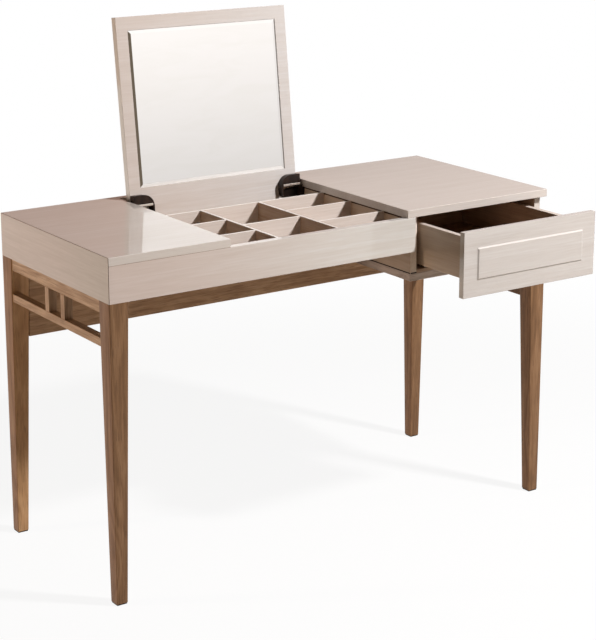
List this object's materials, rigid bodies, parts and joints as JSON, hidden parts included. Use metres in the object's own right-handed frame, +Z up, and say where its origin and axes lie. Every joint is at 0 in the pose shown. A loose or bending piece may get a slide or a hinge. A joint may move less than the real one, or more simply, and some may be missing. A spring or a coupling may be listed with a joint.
{
  "type": "vanity table",
  "caption": "Lacquered dressing table on tapered walnut legs, with a mirror lid over a divided tray and a drawer box hung under its right end.",
  "frame": {"origin": "on the floor, under the middle of the whole piece as it stands with its lid and drawer open", "axes": "+Z up, -Y is the front that the drawer opens to, +X to the user's right"},
  "size_m": [1.178, 0.6802, 1.1757],
  "materials": {
    "lacquer": "glossy greige lacquer over open-pored wood",
    "inner_lacquer": "satin greige lacquer",
    "walnut": "satin walnut",
    "drawer_wood": "satin dark brown",
    "mirror": "silvered glass with a bevelled edge",
    "hinge_black": "black brown moulded plastic",
    "steel": "bright zinc plated steel",
    "glide": "dark matt plastic"
  },
  "bodies": {
    "table": {"leg_left_front": "walnut", "leg_right_front": "walnut", "leg_right_back": "walnut", "leg_left_back": "walnut", "glide_left_front": "glide", "glide_right_front": "glide", "glide_right_back": "glide", "glide_left_back": "glide", "left_upper_rail": "walnut", "left_lower_rail": "walnut", "left_bar_front": "walnut", "left_bar_back": "walnut", "right_upper_rail": "walnut", "right_lower_rail": "walnut", "right_bar_front": "walnut", "right_bar_back": "walnut", "back_rail": "walnut", "left_end_panel": "lacquer", "left_top": "lacquer", "front_apron": "lacquer", "carcass_back": "lacquer", "carcass_floor": "inner_lacquer", "carcass_left_wall": "inner_lacquer", "carcass_right_wall": "inner_lacquer", "tray_back": "inner_lacquer", "tray_long_divider_1": "inner_lacquer", "tray_long_divider_2": "inner_lacquer", "tray_cross_divider_1_1": "inner_lacquer", "tray_cross_divider_1_2": "inner_lacquer", "tray_cross_divider_2_1": "inner_lacquer", "tray_cross_divider_3_1": "inner_lacquer", "tray_cross_divider_3_2": "inner_lacquer", "lid_hinge_bracket_left": "hinge_black", "lid_hinge_bracket_right": "hinge_black", "lid_hinge_pin_left": "steel", "lid_hinge_pin_right": "steel", "right_top": "lacquer", "box_left_wall": "lacquer", "box_right_wall": "lacquer", "box_back": "inner_lacquer", "box_floor": "inner_lacquer", "frame_front_rail": "walnut", "frame_back_rail": "walnut", "frame_left_rail": "walnut", "frame_right_rail": "walnut", "runner_channel_left": "steel", "runner_channel_right": "steel"},
    "lid": {"lid_panel": "lacquer", "mirror_glass": "mirror", "lid_hinge_leaf_left": "hinge_black", "lid_hinge_leaf_right": "hinge_black"},
    "drawer": {"drawer_front": "lacquer", "drawer_left_side": "drawer_wood", "drawer_right_side": "drawer_wood", "drawer_back": "drawer_wood", "drawer_floor": "drawer_wood", "runner_cap_left": "steel", "runner_cap_right": "steel"},
    "runner_left": {"runner_bar_left": "steel"},
    "runner_right": {"runner_bar_right": "steel"}
  },
  "joints": [
    {"name": "lid_hinge", "type": "hinge", "parent": "table", "child": "lid", "pos_m": [0, 0.26894, 0.742], "axis": [1, 0, 0], "range_deg": [0, 97]},
    {"name": "drawer_slide", "type": "slide", "parent": "table", "child": "drawer", "axis": [0, -1, 0], "range_m": [-0.169, 0.181]},
    {"name": "runner_left_slide", "type": "slide", "parent": "table", "child": "runner_left", "axis": [0, -1, 0], "range_m": [-0.0845, 0.0905]},
    {"name": "runner_right_slide", "type": "slide", "parent": "table", "child": "runner_right", "axis": [0, -1, 0], "range_m": [-0.0845, 0.0905]}
  ],
  "couplings": [
    {"joint": "runner_left_slide", "follows": "drawer_slide", "ratio": 0.5},
    {"joint": "runner_right_slide", "follows": "drawer_slide", "ratio": 0.5}
  ]
}
